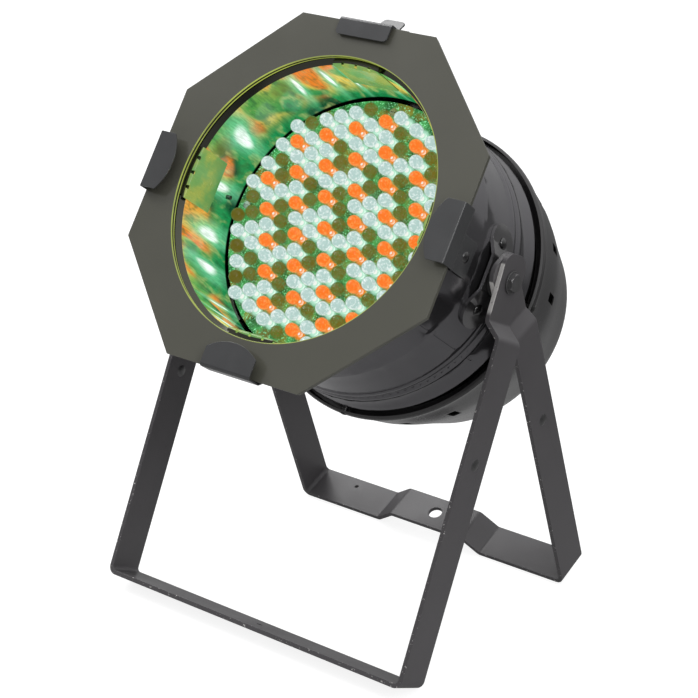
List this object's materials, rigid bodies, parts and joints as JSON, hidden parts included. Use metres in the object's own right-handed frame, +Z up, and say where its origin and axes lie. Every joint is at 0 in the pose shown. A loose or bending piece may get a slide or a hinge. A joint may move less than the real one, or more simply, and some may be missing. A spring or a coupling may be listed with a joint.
{
  "type": "par can stage light",
  "caption": "Short can-shaped stage light with an octagonal filter frame, hung between two U-shaped yokes that also stand it on the floor.",
  "frame": {"origin": "middle of the bounding box on the floor that the two yoke bars stand on", "axes": "+X to the right across the yokes, along the pivot axis; -Y is the side the light faces; +Z up. The can is tilted, its front up by 33.2 degrees."},
  "size_m": [0.2664, 0.3301, 0.4257],
  "materials": {
    "can_metal": "polished dark anodised",
    "cap_metal": "gloss black",
    "frame_metal": "gloss black lacquer",
    "clip_metal": "gloss black",
    "seat_metal": "polished dark",
    "latch_metal": "gloss black",
    "yoke_metal": "satin black with bright worn edges",
    "plug_metal": "dark plated",
    "bracket_metal": "gloss black",
    "rivet_metal": "dark rivets",
    "bright_steel": "zinc plated",
    "black_steel": "black oxide",
    "spring_steel": "spring wire",
    "friction_black": "matt",
    "board_mask": "black solder mask",
    "board_green": "green solder mask",
    "lens_red": "clear diode lens, lit",
    "lens_green": "clear diode lens, lit",
    "lens_blue": "clear diode lens, dark",
    "supply_case": "perforated case",
    "panel_metal": "satin black",
    "display_glass": "dark red display filter",
    "socket_black": "black moulded",
    "fuse_black": "black moulded",
    "pin_metal": "plated contacts",
    "button_grey": "dark grey"
  },
  "bodies": {
    "can": {"can_barrel": "can_metal", "rear_cap": "cap_metal", "rear_cap_screws": "black_steel", "gel_frame_front_sheet": "frame_metal", "gel_frame_spacer": "frame_metal", "gel_frame_back_sheet": "frame_metal", "frame_clip_right": "clip_metal", "frame_clip_left": "clip_metal", "frame_clip_bottom": "clip_metal", "frame_seat_right": "seat_metal", "frame_seat_left": "seat_metal", "frame_seat_bottom": "seat_metal", "clip_rivets": "rivet_metal", "seat_rivets": "rivet_metal", "latch_bracket": "seat_metal", "latch_pin": "bright_steel", "latch_spring": "spring_steel", "pivot_bracket_rivets": "rivet_metal", "led_board": "board_mask", "leds_red": "lens_red", "leds_green": "lens_green", "leds_blue": "lens_blue", "led_board_screws": "bright_steel", "board_carrier": "bright_steel", "chassis_plate": "bright_steel", "power_supply": "supply_case", "driver_board": "board_green", "rear_panel": "panel_metal", "rear_panel_screws": "black_steel", "display_window": "display_glass", "display_board": "board_green", "data_input_socket": "socket_black", "data_input_pins": "pin_metal", "data_output_socket": "socket_black", "power_inlet": "socket_black", "power_inlet_pins": "pin_metal", "power_outlet": "socket_black", "fuse_holder": "socket_black", "earth_stud": "bright_steel", "pivot_bracket_right": "bracket_metal", "friction_disc_right": "friction_black", "pivot_washer_right": "black_steel", "pivot_bolt_right": "black_steel", "pivot_nut_right": "bright_steel", "pivot_bracket_left": "bracket_metal", "friction_disc_left": "friction_black", "pivot_washer_left": "black_steel", "pivot_bolt_left": "black_steel", "pivot_nut_left": "bright_steel"},
    "latch": {"latch": "latch_metal"},
    "front_yoke": {"front_yoke": "yoke_metal", "front_yoke_plugs": "plug_metal"},
    "rear_yoke": {"rear_yoke": "yoke_metal", "rear_yoke_plugs": "plug_metal"},
    "release_tab": {"data_release_tab": "bright_steel"},
    "fuse_cap": {"fuse_cap": "fuse_black"},
    "menu_button_1": {"menu_button_1": "button_grey"},
    "menu_button_2": {"menu_button_2": "button_grey"},
    "menu_button_3": {"menu_button_3": "button_grey"},
    "menu_button_4": {"menu_button_4": "button_grey"}
  },
  "joints": [
    {"name": "front_yoke_pivot", "type": "hinge", "parent": "can", "child": "front_yoke", "pos_m": [0, -0.00967, 0.26479], "axis": [1, 0, 0], "range_deg": [-70, 18]},
    {"name": "rear_yoke_pivot", "type": "hinge", "parent": "can", "child": "rear_yoke", "pos_m": [0, -0.00967, 0.26479], "axis": [1, 0, 0], "range_deg": [-18, 160]},
    {"name": "latch_hinge", "type": "hinge", "parent": "can", "child": "latch", "pos_m": [0, -0.01261, 0.4137], "axis": [-1, 0, 0], "range_deg": [0, 75], "stiffness_Nm_per_rad": 0.03, "springref_deg": -20.05},
    {"name": "fuse_cap_turn", "type": "hinge", "parent": "can", "child": "fuse_cap", "pos_m": [0.058, 0.11104, 0.17385], "axis": [0, 0.8368, -0.5476], "range_deg": [0, 45]},
    {"name": "release_tab_press", "type": "slide", "parent": "can", "child": "release_tab", "axis": [0, -0.8368, 0.5476], "range_m": [0, 0.0018], "stiffness_N_per_m": 400, "springref_m": -0.0005},
    {"name": "menu_button_1_press", "type": "slide", "parent": "can", "child": "menu_button_1", "axis": [0, -0.8368, 0.5476], "range_m": [0, 0.0012], "stiffness_N_per_m": 400, "springref_m": -0.0005},
    {"name": "menu_button_2_press", "type": "slide", "parent": "can", "child": "menu_button_2", "axis": [0, -0.8368, 0.5476], "range_m": [0, 0.0012], "stiffness_N_per_m": 400, "springref_m": -0.0005},
    {"name": "menu_button_3_press", "type": "slide", "parent": "can", "child": "menu_button_3", "axis": [0, -0.8368, 0.5476], "range_m": [0, 0.0012], "stiffness_N_per_m": 400, "springref_m": -0.0005},
    {"name": "menu_button_4_press", "type": "slide", "parent": "can", "child": "menu_button_4", "axis": [0, -0.8368, 0.5476], "range_m": [0, 0.0012], "stiffness_N_per_m": 400, "springref_m": -0.0005}
  ]
}
